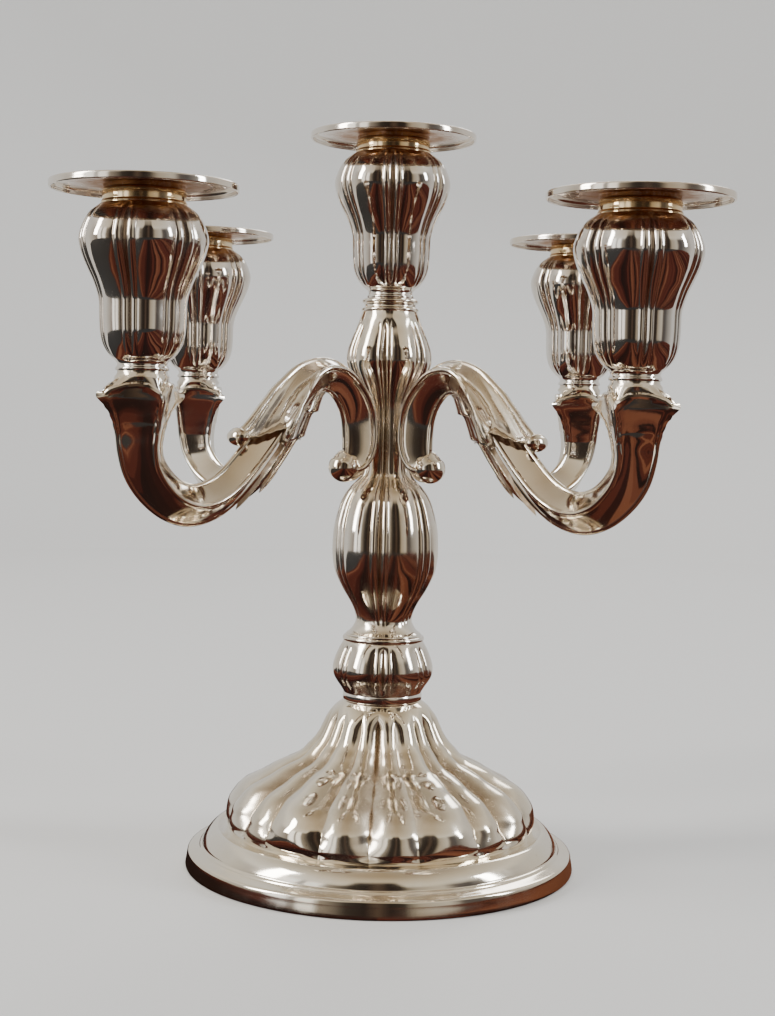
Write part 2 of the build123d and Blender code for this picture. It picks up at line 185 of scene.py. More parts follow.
# ---------------------------------------------------------------- curves and grids
def smooth(points, steps):
    """Points along a centripetal Catmull-Rom curve through the given ones, steps to each stretch."""
    p = np.array(points, float)
    ends = np.vstack([2 * p[0] - p[1], p, 2 * p[-1] - p[-2]])
    knots = np.concatenate([[0], np.cumsum(np.linalg.norm(np.diff(ends, axis=0), axis=1) ** 0.5)])
    rows = []
    for i in range(len(p) - 1):
        a, b, c, d = ends[i:i + 4]
        ta, tb, tc, td = knots[i:i + 4]
        leave = (tc - tb) * ((b - a) / (tb - ta) - (c - a) / (tc - ta) + (c - b) / (tc - tb))
        arrive = (tc - tb) * ((c - b) / (tc - tb) - (d - b) / (td - tb) + (d - c) / (td - tc))
        for k in range(steps):
            t = k / steps
            rows.append((2 * t**3 - 3 * t**2 + 1) * b + (t**3 - 2 * t**2 + t) * leave
                        + (3 * t**2 - 2 * t**3) * c + (t**3 - t**2) * arrive)
    return np.array(rows + [p[-1]])


def eased(t):
    """0 to 1 with a gentle start and end."""
    return t * t * (3 - 2 * t)


def climb(x, start, length):
    """0 up to the start, then straight up to 1 over the length."""
    return np.clip((x - start) / length, 0, 1)


def hump(x, middle, width):
    """A smooth hump, 1 at its middle."""
    return np.exp(-(((x - middle) / width) ** 2))


def table(pairs, x):
    """Value at x of a table of (x, value) pairs, eased between its rows."""
    xs, ys = np.array(pairs, float).T
    x = np.clip(x, xs[0], xs[-1])
    i = np.clip(np.searchsorted(xs, x, side="right") - 1, 0, len(xs) - 2)
    return ys[i] + (ys[i + 1] - ys[i]) * eased((x - xs[i]) / (xs[i + 1] - xs[i]))


def grid_object(name, rows, hollow=None, low_cap=False, high_cap=False, crease=38):
    """An object whose mesh joins closed rows of points (mm), each row to the next."""
    rows = np.asarray(rows, float)
    n, m = rows.shape[:2]
    faces = []
    for i in range(n - 1):
        for j in range(m):
            k = (j + 1) % m
            faces.append((i * m + j, i * m + k, (i + 1) * m + k, (i + 1) * m + j))
    if low_cap:
        faces.append(tuple(range(m))[::-1])
    if high_cap:
        faces.append(tuple((n - 1) * m + j for j in range(m)))
    mesh = bpy.data.meshes.new(name)
    mesh.from_pydata((rows.reshape(-1, 3) * MM).tolist(), [], faces)
    mark = mesh.attributes.new("hollow", "FLOAT", "POINT")
    values = np.zeros(n * m) if hollow is None else np.asarray(hollow, float).reshape(-1)
    mark.data.foreach_set("value", values.astype(np.float32))
    mesh.shade_smooth()
    mesh.set_sharp_from_angle(angle=math.radians(crease))
    obj = bpy.data.objects.new(name, mesh)
    bpy.context.scene.collection.objects.link(obj)
    return obj


def flute_columns(half=PANEL_HALF):
    """Azimuths in degrees round one turn, close together at creases and grooves."""
    panel = np.array([-1, -0.97, -0.9, -0.75, -0.5, -0.25, 0, 0.25, 0.5, 0.75, 0.9, 0.97]) * half
    width = PERIOD / 2 - half
    rib = half + width * np.array([0, 0.06, 0.16, 0.28, 0.4, 0.52, 0.64, 0.76, 0.86, 0.94, 0.98])
    other = PERIOD - rib[::-1]
    one = np.concatenate([panel, rib, [PERIOD / 2], other[:-1]])
    return np.concatenate([one + PERIOD * k for k in range(PANELS)])


def flute_sink(azimuth, half=PANEL_HALF):
    """How far the fluting lies below the outline: 0 at a panel's middle, 1 in a groove."""
    x = np.abs((azimuth + PERIOD / 2) % PERIOD - PERIOD / 2)
    panel = CREASE_SINK * (x / half) ** 2.2
    t = np.clip((x - half) / (PERIOD / 2 - half), 0, 1)
    rib = CREASE_SINK + (1 - CREASE_SINK) * t - RIB_RISE * np.sin(math.pi * t) ** 0.9
    return np.where(x < half, panel, rib)


def turned_rows(outline, height, flutes=None, turn=0.0, steps=4, half=PANEL_HALF):
    """Rows round the axis for an outline; the fluting's depth follows its own table."""
    line = smooth(outline, steps)
    azimuth = flute_columns(half) if flutes else np.arange(0, 360, PLAIN_STEP)
    sink = flute_sink(azimuth, half) if flutes else np.zeros(len(azimuth))
    a = np.radians(azimuth + turn)
    rows, hollow = [], []
    for r, z in line:
        depth = table(flutes, z) if flutes else 0.0
        radius = r * (1 - depth * sink)
        rows.append(np.stack([radius * np.cos(a), radius * np.sin(a), np.full(len(a), z + height)], 1))
        hollow.append(np.clip(sink, 0, 1) * depth * FLUTE_TARNISH)
    return np.array(rows), np.array(hollow)


def moved(rows, place):
    """The rows at a place (x, y)."""
    rows[:, :, :2] += place
    return rows


def turned_object(name, outline, height, place=(0, 0), flutes=None, turn=0.0):
    rows, hollow = turned_rows(outline, height, flutes, turn)
    return grid_object(name, moved(rows, place), hollow)


# ---------------------------------------------------------------- the arm
def section(half, shift):
    """The arm's section: a square on its corner with a bead along each corner, (out, side) points."""
    corners = np.array([(half, 0), (-shift, half), (-half, 0), (-shift, -half)], float)
    points, inner = [], 1 - FACE_INSET
    bead = min(BEAD_R, half * 0.3)
    for k in range(4):
        corner, following = corners[k], corners[(k + 1) % 4]
        outward = np.array([math.cos(math.pi / 2 * k), math.sin(math.pi / 2 * k)])
        centre = corner - outward * bead
        for t in np.linspace(-100, 100, BEAD_POINTS):
            a = math.pi / 2 * k + math.radians(t)
            points.append(centre + bead * np.array([math.cos(a), math.sin(a)]))
        start, stop = corner * inner, following * inner
        run = stop - start
        normal = np.array([run[1], -run[0]]) / np.hypot(*run)
        for t in np.linspace(0.13, 0.87, FACE_POINTS):
            swell = FACE_BULGE[k] * half * 4 * t * (1 - t) * 0.5
            points.append(start + run * t + normal * swell)
    return np.array(points)


def arm_frames():
    """Points along the arm (u, z, half diagonal, shift), and unit vectors out of its bend."""
    line = smooth(ARM_LINE, ARM_STEPS)
    run = np.gradient(line[:, :2], axis=0)
    run /= np.linalg.norm(run, axis=1)[:, None]
    out = np.stack([run[:, 1], -run[:, 0]], 1)
    return line, out


def placed(centre, out, points):
    """Section points (out, side) put in space at a centre (u, z)."""
    u = centre[0] + points[:, 0] * out[0]
    z = centre[1] + points[:, 0] * out[1]
    return np.stack([u, points[:, 1], z], 1)


def face_share():
    """For each section column: its share of the way from a spur (0) to a side notch (1)."""
    per = BEAD_POINTS + FACE_POINTS
    middle = (BEAD_POINTS - 1) / 2
    column = (np.arange(4 * per) - middle) / per  # 0, 1, 2, 3 at the corners
    return 1 - np.abs((column % 2) - 1)


def capital_ring(azimuth, radius, z, shift=0.0):
    """One row round the capital, with its own radius and height at each azimuth."""
    u = CAPITAL_U + shift + radius * np.cos(azimuth)
    return np.stack([u, radius * np.sin(azimuth), z], 1)


def capital_radius(azimuth, z):
    """Radius of the flared capital: its sides turn hollow and its corners sharper upwards."""
    c, s = np.abs(np.cos(azimuth)), np.abs(np.sin(azimuth))
    pinch = 1 - PINCH * climb(z, PINCH_FROM, PINCH_OVER)
    spur, side = table(SPUR_R, z), table(SIDE_R, z)
    return ((c / spur) ** pinch + (s / side) ** pinch) ** (-1 / pinch)


def capital_flare(base, azimuth, share):
    """Rows from the top of the riser up to the capital's edge."""
    top = table(EDGE, share)
    ratio = np.hypot(base[:, 0] - ARM_LINE[-1][0], base[:, 1]) / capital_radius(azimuth, base[:, 2])
    rows = []
    for k in range(1, CAPITAL_ROWS + 1):
        t = k / CAPITAL_ROWS
        z = base[:, 2] + (top - base[:, 2]) * t
        radius = capital_radius(azimuth, z) * (ratio + (1 - ratio) * t)
        rows.append(capital_ring(azimuth, radius, z, RISER_SHIFT * (1 - t)))
    return rows


def capital_lip(edge, azimuth, share):
    """Rows over the rounded lip on the capital's edge, thinner at the side notches."""
    along = np.roll(edge, -1, 0) - np.roll(edge, 1, 0)
    along /= np.linalg.norm(along, axis=1)[:, None]
    radial = np.stack([np.cos(azimuth), np.sin(azimuth), np.zeros(len(azimuth))], 1)
    up = np.cross(radial, along)
    up /= np.linalg.norm(up, axis=1)[:, None]
    size = LIP_R * (1 - LIP_THINNING * climb(share, 0.8, 0.2))
    rows = []
    for a in np.radians(LIP_ANGLES):
        rise, reach = size * (0.9 + math.sin(a)), size * (math.cos(a) - 0.45)
        rows.append(edge + up * rise[:, None] + radial * reach[:, None])
    return rows


def capital_slope(lip, azimuth):
    """Rows from the lip up the slope to the neck."""
    goal = capital_ring(azimuth, *(np.full(len(azimuth), size) for size in NECK[0]), NECK_SHIFT)
    rows = []
    for t in SLOPE_SHARES:
        row = lip + (goal - lip) * t
        row[:, 2] = lip[:, 2] + (goal[:, 2] - lip[:, 2]) * t**0.85
        rows.append(row)
    return rows


def capital_rows(base):
    """Rows from the top of the riser over the flared capital, its lip and its slope to the neck."""
    share = face_share()
    azimuth = np.arctan2(base[:, 1], base[:, 0] - ARM_LINE[-1][0])
    even = np.ones(len(share))
    rows = capital_flare(base, azimuth, share)
    hollow = [0.2 * k / CAPITAL_ROWS * even for k in range(1, CAPITAL_ROWS + 1)]
    rows += capital_lip(rows[-1], azimuth, share)
    hollow += [0 * even for _ in LIP_ANGLES]
    rows += capital_slope(rows[-1], azimuth)
    hollow += [0.9 * climb(share, 0.7, 0.3) * (1 - t) + 0.25 * t for t in SLOPE_SHARES]
    for r, z in NECK[1:]:
        rows.append(capital_ring(azimuth, r * even, z * even, NECK_SHIFT))
        hollow.append(0.3 * even)
    return rows, hollow


def turn_rows(rows, degrees):
    a = math.radians(degrees)
    rows = np.array(rows, float)
    x, y = rows[..., 0].copy(), rows[..., 1].copy()
    rows[..., 0] = x * math.cos(a) - y * math.sin(a)
    rows[..., 1] = x * math.sin(a) + y * math.cos(a)
    return rows


def arm_rows():
    line, out = arm_frames()
    rows = [placed(p[:2], o, section(p[2], p[3])) for p, o in zip(line, out)]
    hollow = [np.zeros(len(rows[0])) for _ in rows]
    more, marks = capital_rows(rows[-1])
    return rows + more, hollow + marks


# ---- the acanthus sheath over the arm's slope ----
# A place on it is (share, at): the share of the way from the upper ridge (0) over the side ridge (1)
# to the lower ridge (2), and the mm along the arm from the scroll.
SHEATH_ROWS = 72
SHEATH_COLUMNS = 64  # over one side of the arm
SHEATH_START = [(0.0, 46.0), (0.7, 50.0), (1.0, 52.0), (1.3, 48.0), (2.0, 44.0)]
SHEATH_END = [
    (0.0, 98.0), (0.12, 98.6), (0.28, 98.2), (0.42, 95.5), (0.55, 91.8), (0.66, 88.5), (0.74, 86.5),
    (0.8, 85.5), (0.88, 87.0), (1.0, 89.0), (1.15, 90.8), (1.3, 91.5), (1.4, 89.5), (1.5, 84.5),
    (1.58, 82.0), (1.7, 88.0), (1.85, 104.0), (2.0, 117.0),
]
SIDE_LOBE_MIDDLE = [(60, 0.82), (74, 0.86), (81, 0.97), (86, 1.12), (92, 1.33)]  # share, by mm along
SIDE_LOBE_HALF = [(60, 0.1), (72, 0.25), (81, 0.34), (86, 0.28), (92, 0.1)]
SIDE_LOBE_RISE = 3.4
# Rise over the upper ridge, by mm along.
TOP_LOBE_RISE = [(50, 0.8), (66, 1.6), (77, 2.9), (86, 3.6), (98, 4.6)]
TOP_LOBE_FLOOR = 1.0  # beside the band over the upper ridge
LOW_LOBE_RISE = 1.2
RIM_RISE = 2.3
RIM_WIDTH = 1.7  # of the rolled edge
BAND_GROOVE = 0.6  # depths of the top lobe's grooves: beside its band,
EDGE_GROOVE = 1.1  # behind its rolled edge,
VALLEY_GROOVE = 0.9  # and between it and the side lobe
SCALLOP_STARTS = (55, 69)  # ragged lobes under the arm, mm along
SCALLOP_LONG = 16.5
SCALLOP_RISE = 2.3
LEAF_SINK = 0.5  # of the leaf's start, into the arm
LEAF_TURNED_IN = ((0.1, 0.12), (0.5, 0.3), (1.4, 0.6), (2.6, 1.0))  # mm back, share of the lift lost


def top_lobe(share, at, end, valley):
    """Rise of the lobe over the upper ridge, with its grooves."""
    beside = eased(climb(share, 0.08, 0.36))
    rise = table(TOP_LOBE_RISE, at) * (1 - beside) + TOP_LOBE_FLOOR * beside
    rise *= climb(valley - share, 0, 0.08) ** 0.6
    grooves = BAND_GROOVE * hump(share, 0.36, 0.03)
    grooves += EDGE_GROOVE * hump(end - at, 5.5, 3.0) * climb(share, 0, 0.4)
    grooves += VALLEY_GROOVE * hump(share, valley, 0.05)
    return rise - climb(at, 62, 10) * grooves


def rolled_rim(share, at, end):
    """Rise of the rolled edge, lower at the upper ridge and from the side ridge down."""
    below = np.maximum(climb(0.9 - share, 0, 0.1), 0.2)
    above = np.maximum(climb(share, 0, 0.3), 0.2)
    return RIM_RISE * hump(end - at, 0, RIM_WIDTH) * below * above


def scallops(at):
    """Height of the ragged lobes under the arm: each climbs slowly and ends steeply."""
    height = 0
    for start in SCALLOP_STARTS:
        height = height + climb(at, start, 13) ** 1.4 * climb(start + SCALLOP_LONG - at, 0, 2.8)
    return SCALLOP_RISE * height


def sheath_lift(share, at, start, end):
    """How far the leaf stands out of the arm at each place on one row."""
    middle, half = table(SIDE_LOBE_MIDDLE, at), table(SIDE_LOBE_HALF, at)
    valley = middle - half
    top = top_lobe(share, at, end, valley)
    side = SIDE_LOBE_RISE * np.clip(1 - ((share - middle) / half) ** 2, 0, 1)
    low = LOW_LOBE_RISE * climb(share, middle + half, 0.15)
    relief = np.where(share < valley, top, np.where(share < middle + half, side, low))
    grown = eased(climb(at, start, 0.5 * (end - start)))
    under = scallops(at) * climb(share, 1.5, 0.35)
    return (relief + rolled_rim(share, at, end)) * grown + under


def sheath_rows():
    """Rows over the leaf from its start to its edge, and back under the edge."""
    share = np.linspace(0, 2, SHEATH_COLUMNS + 1)
    share = np.concatenate([share, share[-2:0:-1]])
    side = np.where(np.arange(len(share)) <= SHEATH_COLUMNS, 1, -1)
    start, end = table(SHEATH_START, share), table(SHEATH_END, share)
    rows, hollow = [], []
    for k in range(SHEATH_ROWS + 1):
        t = k / SHEATH_ROWS
        at = start + (end - start) * (1 - (1 - t) ** 1.25)
        lift = sheath_lift(share, at, start, end) - LEAF_SINK * max(0.0, 1 - 4 * t)
        rows.append(on_arm(share, side, at, lift))
        hollow.append(np.clip(1 - lift / 1.1, 0, 1) * 0.8)
    lift = sheath_lift(share, end, start, end)
    # Under the edge the hollow mark is full: painted shade on the leaf's turned-in underside.
    for back, drop in LEAF_TURNED_IN:
        rows.append(on_arm(share, side, end - back, lift * (1 - drop) - LEAF_SINK * drop))
        hollow.append(np.ones(len(end)))
    return np.array(rows), np.array(hollow)


def on_arm(share, side, at, lift):
    """One row over the arm's surface: each column at its own length along it, lifted off it."""
    line, out = arm_frames()
    length = np.concatenate([[0], np.cumsum(np.linalg.norm(np.diff(line[:, :2], axis=0), axis=1))])
    per = BEAD_POINTS + FACE_POINTS
    column = (BEAD_POINTS - 1) / 2 + per * (2 - share)
    points = np.zeros((len(at), 3))
    for j, (s, h) in enumerate(zip(at, lift)):
        u, z, half, shift = (np.interp(s, length, line[:, k]) for k in range(4))
        o = np.array([np.interp(s, length, out[:, 0]), np.interp(s, length, out[:, 1])])
        o /= np.hypot(*o)
        ring = section(half, shift)
        p = np.array([np.interp(column[j], np.arange(len(ring)), ring[:, k]) for k in range(2)])
        p[1] *= side[j]
        away = p / np.hypot(*p)
        points[j] = placed((u, z), o, (p + away * h)[None, :])[0]
    return points


def ball_rows(centre, radius, squash=1.0, fold=0.0, rings=18, around=48):
    """Rows round the side-to-side axis of a ball at (u, z), with folds over its upper half."""
    rows = []
    a = np.linspace(0, 2 * math.pi, around, endpoint=False)
    folds = 1 - fold * np.clip(np.sin(a), 0, 1) * (0.5 + 0.5 * np.cos(7 * a))
    for k in range(1, rings):
        polar = math.pi * k / rings
        r = radius * math.sin(polar) * folds
        y = np.full(around, -radius * squash * math.cos(polar))
        rows.append(np.stack([centre[0] + r * np.cos(a), y, centre[1] + r * np.sin(a)], 1))
    return rows


BALLS = {
    "scroll": ball_rows((23.4, 159.9), 6.0, squash=1.05, fold=0.16),
    "curl": ball_rows((76.9, 171.6), 3.4, squash=1.5, fold=0.12),
}


# ---------------------------------------------------------------- shader nodes
def node(tree, kind, **inputs):
    made = tree.nodes.new(kind)
    for key, value in inputs.items():
        made.inputs[key.replace("_", " ")].default_value = value
    return made


def grey(value):
    return (value, value, value)


def ramp(tree, factor, stops):
    """Colour of a ramp with the given (position, colour) stops."""
    made = tree.nodes.new("ShaderNodeValToRGB")
    elements = made.color_ramp.elements
    elements[0].position, elements[0].color = stops[0][0], (*stops[0][1], 1)
    elements[1].position, elements[1].color = stops[-1][0], (*stops[-1][1], 1)
    for position, color in stops[1:-1]:
        elements.new(position).color = (*color, 1)
    tree.links.new(factor, made.inputs["Fac"])
    return made.outputs["Color"]


def noise(tree, place, scale, detail, roughness=0.55, distortion=0.0):
    made = node(tree, "ShaderNodeTexNoise", Scale=scale, Detail=detail, Roughness=roughness,
                Distortion=distortion)
    tree.links.new(place, made.inputs["Vector"])
    return made.outputs["Fac"]


def math_node(tree, kind, *given):
    """Result of a Math node on numbers and outputs of other nodes."""
    made = tree.nodes.new("ShaderNodeMath")
    made.operation = kind
    for socket, value in zip(made.inputs, given):
        if isinstance(value, (int, float)):
            socket.default_value = value
        else:
            tree.links.new(value, socket)
    return made.outputs[0]


def mixed_color(tree, factor, a, b, kind="MIX"):
    """Two colours mixed, each a tuple or another node's output."""
    made = tree.nodes.new("ShaderNodeMix")
    made.data_type = "RGBA"
    made.blend_type = kind
    if isinstance(factor, float):
        made.inputs["Factor"].default_value = factor
    else:
        tree.links.new(factor, made.inputs["Factor"])
    for socket, given in zip((made.inputs[6], made.inputs[7]), (a, b)):
        if isinstance(given, tuple):
            socket.default_value = (*given, 1)
        else:
            tree.links.new(given, socket)
    return made.outputs[2]


def add_relief(tree, shader, height, strength, distance):
    relief = node(tree, "ShaderNodeBump", Strength=strength, Distance=distance)
    tree.links.new(height, relief.inputs["Height"])
    tree.links.new(relief.outputs["Normal"], shader.inputs["Normal"])


# ---------------------------------------------------------------- materials
def new_surface(name, shift=0.0):
    """A new material, its tree and shader, and places on the object, moved by the shift."""
    material = bpy.data.materials.new(name)
    material.use_nodes = True
    tree = material.node_tree
    where = tree.nodes.new("ShaderNodeTexCoord")
    place = tree.nodes.new("ShaderNodeMapping")
    place.inputs["Location"].default_value = (shift, shift * 0.7, shift * 1.3)
    tree.links.new(where.outputs["Object"], place.inputs["Vector"])
    return material, tree, tree.nodes["Principled BSDF"], place.outputs["Vector"]


def tarnish(tree, place, wear):
    """How tarnished a place is, and how dark its painted shade under the leaf's edge: the mesh's mark of the
    hollows, broken up by noise.
    """
    mark = tree.nodes.new("ShaderNodeAttribute")
    mark.attribute_name = "hollow"
    grime = math_node(tree, "MULTIPLY", noise(tree, place, 160, 5, 0.7), wear * 1.7)
    return math_node(tree, "MULTIPLY", mark.outputs["Fac"], grime)


def spots(tree, place):
    """Small round spots, in some areas only."""
    specks = node(tree, "ShaderNodeTexVoronoi", Scale=260.0)
    tree.links.new(place, specks.inputs["Vector"])
    spot = ramp(tree, specks.outputs["Distance"], [(0.05, grey(1)), (0.12, grey(0))])
    area = math_node(tree, "GREATER_THAN", noise(tree, place, 35, 2), 0.6)
    return math_node(tree, "MULTIPLY", spot, area)


def scratches(tree, place):
    """Height of fine upright scratches over shallow dents."""
    squeeze = tree.nodes.new("ShaderNodeMapping")
    squeeze.inputs["Scale"].default_value = (1.0, 1.0, 0.12)
    tree.links.new(place, squeeze.inputs["Vector"])
    scratch = noise(tree, squeeze.outputs["Vector"], 900, 2, 0.5)
    return math_node(tree, "ADD", math_node(tree, "MULTIPLY", scratch, 0.06), noise(tree, place, 70, 1))


def metal(name, clean, warm, stain, rough, wear=0.5, bump=0.05, shift=0.0):
    """Polished metal with warm patches, tarnished hollows, painted shade under the leaf's edge, smears and
    fine scratches.
    """
    material, tree, shader, place = new_surface(name, shift)
    shader.inputs["Metallic"].default_value = 1.0
    # Tarnish in the hollows, and painted shade where the mark covers the leaf's underside.
    tarnish_shade_mix = tarnish(tree, place, wear)
    between = tuple((a + b) / 2 for a, b in zip(clean, warm))
    tone = ramp(tree, noise(tree, place, 22, 4), [(0.36, clean), (0.5, between), (0.66, warm)])
    color = mixed_color(tree, tarnish_shade_mix, tone, stain)
    color = mixed_color(tree, math_node(tree, "MULTIPLY", spots(tree, place), 0.45 * wear), color, stain)
    tree.links.new(color, shader.inputs["Base Color"])

    smear = noise(tree, place, 48, 6, 0.65, distortion=0.8)
    sheen = ramp(tree, smear, [(0.38, grey(rough)), (0.56, grey(rough * 1.8)), (0.72, grey(rough * 3.2))])
    roughness = math_node(tree, "ADD", sheen, math_node(tree, "MULTIPLY", tarnish_shade_mix, 0.3))
    tree.links.new(roughness, shader.inputs["Roughness"])
    add_relief(tree, shader, scratches(tree, place), bump, 0.0015)
    return material


def matt(name, color, dark, scale, rough, bump):
    """A dull material with mottled colour and a grain in its surface."""
    material, tree, shader, place = new_surface(name)
    grain = noise(tree, place, scale, 8, 0.7)
    tree.links.new(ramp(tree, grain, [(0.35, dark), (0.65, color)]), shader.inputs["Base Color"])
    shine = ramp(tree, grain, [(0.3, grey(rough)), (0.7, grey(min(1.0, rough * 1.15)))])
    tree.links.new(shine, shader.inputs["Roughness"])
    add_relief(tree, shader, grain, bump, 0.0006)
    return material


def paint(obj, material):
    obj.data.materials.clear()
    obj.data.materials.append(material)


# ---------------------------------------------------------------- build
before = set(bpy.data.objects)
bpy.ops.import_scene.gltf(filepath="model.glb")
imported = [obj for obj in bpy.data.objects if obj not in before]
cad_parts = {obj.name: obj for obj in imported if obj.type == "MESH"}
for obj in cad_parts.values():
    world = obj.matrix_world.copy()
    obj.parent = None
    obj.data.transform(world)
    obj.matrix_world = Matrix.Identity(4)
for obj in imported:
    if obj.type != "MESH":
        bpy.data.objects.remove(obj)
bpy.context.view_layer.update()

SILVER = (0.90, 0.86, 0.80)
WARM = (0.86, 0.76, 0.61)
GOLD = (0.83, 0.62, 0.36)
STAIN = (0.30, 0.19, 0.10)

silver_column = metal("silver_column", SILVER, WARM, STAIN, 0.07, bump=0.06)
silver_foot = metal("silver_foot", (0.95, 0.90, 0.80), (0.92, 0.82, 0.65), STAIN, 0.06, shift=0.31)
silver_cup = metal("silver_cup", (0.88, 0.85, 0.81), (0.82, 0.75, 0.66), STAIN, 0.05, shift=0.62)
silver_arm = metal("silver_arm", SILVER, WARM, STAIN, 0.06, wear=0.6, shift=0.93)
silver_leaf = metal("silver_leaf", SILVER, WARM, STAIN, 0.12, wear=0.9, bump=0.14, shift=0.47)
gilt = metal("gilt_rings", (0.90, 0.72, 0.46), GOLD, (0.35, 0.17, 0.07), 0.08, bump=0.04, shift=1.24)
silver_pan = metal("silver_pan", (0.88, 0.83, 0.76), (0.80, 0.70, 0.58), (0.42, 0.21, 0.09), 0.07,
                   wear=1.2, bump=0.03, shift=1.55)
plain_steel = metal("plain_steel", (0.56, 0.55, 0.53), (0.47, 0.45, 0.42), (0.2, 0.13, 0.08), 0.22, bump=0.1)
tin_plate = metal("tin_plate", (0.62, 0.6, 0.56), (0.5, 0.47, 0.42), (0.25, 0.18, 0.12), 0.25, bump=0.1)
resin = matt("ballast_resin", (0.30, 0.27, 0.23), (0.2, 0.18, 0.15), 120, 0.6, 0.3)
baize = matt("green_baize", (0.05, 0.13, 0.08), (0.02, 0.07, 0.04), 1500, 0.92, 0.6)

BODY = "candelabrum"


def add_piece(obj, material, slot, *nodes, body=BODY):
    """Gives a piece its material, its body and the CAD nodes that it replaces."""
    paint(obj, material)
    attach(obj, body)
    if nodes:
        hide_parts(*nodes)


def build_foot():
    bell, bell_marks = turned_rows(FOOT_BELL, 0, FOOT_FLUTES, FOOT_TURN, half=FOOT_PANEL_HALF)
    a = np.radians(flute_columns(FOOT_PANEL_HALF) + FOOT_TURN)
    step = smooth(FOOT_STEP, 3)
    skirt = [np.stack([r * np.cos(a), r * np.sin(a), np.full(len(a), z)], 1) for r, z in step]
    marks = [np.full(len(a), 0.5 if r < STEP_GROOVE_R else 0.1) for r, z in step]
    foot = grid_object("foot", np.vstack([bell, skirt]), np.vstack([bell_marks, marks]))
    add_piece(foot, silver_foot, "silver_plate", "base_shell")
    inside = turned_rows(BALLAST, 0, FOOT_FLUTES, FOOT_TURN, steps=1, half=FOOT_PANEL_HALF)[0]
    add_piece(grid_object("ballast", inside), resin, "ballast", "base_ballast")


def build_column():
    knop = turned_object("knop_fluted", KNOP, KNOP_Z, flutes=KNOP_FLUTES, turn=KNOP_TURN)
    add_piece(knop, silver_column, "silver_plate", "knop")
    add_piece(turned_object("knop_ring", RING, RING_Z), silver_column, "silver_plate", "stem_ring")
    stem = turned_object("stem_fluted", STEM, STEM_Z, flutes=STEM_FLUTES, turn=STEM_TURN)
    add_piece(stem, silver_column, "silver_plate", "stem")
    add_piece(turned_object("stem_cap", CAP_RING, CAP_RING_Z), silver_column, "silver_plate", "cap_ring")


def build_arm(number, angle, arm_shape, leaf_shape):
    rows, hollow = arm_shape
    arm = grid_object(f"arm_{number}_body", turn_rows(rows, angle), hollow, low_cap=True, high_cap=True)
    add_piece(arm, silver_arm, "silver_plate", f"arm_{number}")
    rows, hollow = leaf_shape
    leaf = grid_object(f"arm_{number}_leaf", turn_rows(rows, angle), hollow, crease=50)
    add_piece(leaf, silver_leaf, "silver_plate")
    for label, shape in BALLS.items():
        ball = grid_object(f"arm_{number}_{label}", turn_rows(shape, angle), low_cap=True, high_cap=True)
        add_piece(ball, silver_arm, "silver_plate")


def build_cup(name, place, height):
    cup = turned_object(f"cup_{name}", CUP, height, place, CUP_FLUTES, GROOVE_TURN + CUP_TURNS[name])
    add_piece(cup, silver_cup, "silver_plate", f"socket_{name}")
    add_piece(turned_object(f"cup_{name}_mouth", MOUTH, height, place), gilt, "silver_plate")


def build_nozzle(name, place, height):
    """The drip pan and candle tube that lift out of a cup together."""
    body = f"nozzle_{name}"
    rows = turned_rows(PAN, height)[0]
    below = rows[:, 0, 2] < height + PAN_MIDDLE
    # The underside turns darker and browner towards the hub.
    darker_under = below * climb(PAN_DARKER_INSIDE_R - rows[:, 0, 0], 0, PAN_DARKENING_FADE)
    pan = grid_object(f"pan_{name}", moved(rows, place), np.repeat(darker_under[:, None], rows.shape[1], 1))
    add_piece(pan, silver_pan, "silver_plate", f"drip_pan_{name}", body=body)
    rows = np.vstack([turned_rows(TUBE_OUT, height)[0], turned_rows(TUBE, height)[0]])
    tube = grid_object(f"tube_{name}", moved(rows, place), low_cap=True, high_cap=True)
    add_piece(tube, gilt, "silver_tube", f"candle_tube_{name}", body=body)


def build_arms():
    arm_shape, leaf_shape = arm_rows(), sheath_rows()
    for number, angle in enumerate(ARM_ANGLES, start=1):
        build_arm(number, angle, arm_shape, leaf_shape)


def build_cups():
    """The centre cup and nozzle, then those on the arms."""
    seats = [("centre", (0, 0), CENTRE_SEAT_Z)]
    for number, angle in enumerate(ARM_ANGLES, start=1):
        a = math.radians(angle)
        seats.append((str(number), (ARM_REACH * math.cos(a), ARM_REACH * math.sin(a)), ARM_SEAT_Z))
    for name, place, height in seats:
        build_cup(name, place, height)
        build_nozzle(name, place, height)


build_foot()
build_column()
build_arms()
build_cups()

NODE_MATERIALS = {
    "arm_pins": plain_steel, "socket_screws": plain_steel, "tie_rod": plain_steel,
    "tie_rod_washer": plain_steel, "tie_rod_nut": plain_steel, "base_plate": tin_plate,
    "base_felt": baize,
}
for name, material in NODE_MATERIALS.items():
    paint(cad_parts[name], material)


# ---------------------------------------------------------------- stage, light and camera
def seen_in_metal(tree, plain, reflected, output):
    """Plain for the camera and for soft light; the metal reflects the other shader."""
    path = tree.nodes.new("ShaderNodeLightPath")
    mixed = tree.nodes.new("ShaderNodeMixShader")
    tree.links.new(path.outputs["Is Glossy Ray"], mixed.inputs["Fac"])
    tree.links.new(plain.outputs[0], mixed.inputs[1])
    tree.links.new(reflected.outputs[0], mixed.inputs[2])
    tree.links.new(mixed.outputs[0], tree.nodes[output].inputs["Surface"])


# The metal reflects a plank table top with its edges here (metres from the object's middle).
TABLE_BACK = 0.33
TABLE_LEFT = -0.3
TABLE_FRONT = -0.85
PLANK_WIDTH = 0.034
PLANK_COLORS = [
    (0.0, (0.016, 0.010, 0.009)), (0.35, (0.045, 0.014, 0.011)), (0.7, (0.085, 0.026, 0.018)),
    (1.0, (0.2, 0.08, 0.045)),
]
BESIDE_TABLE = (0.035, 0.034, 0.034)
BEHIND_TABLE = (0.62, 0.6, 0.57)


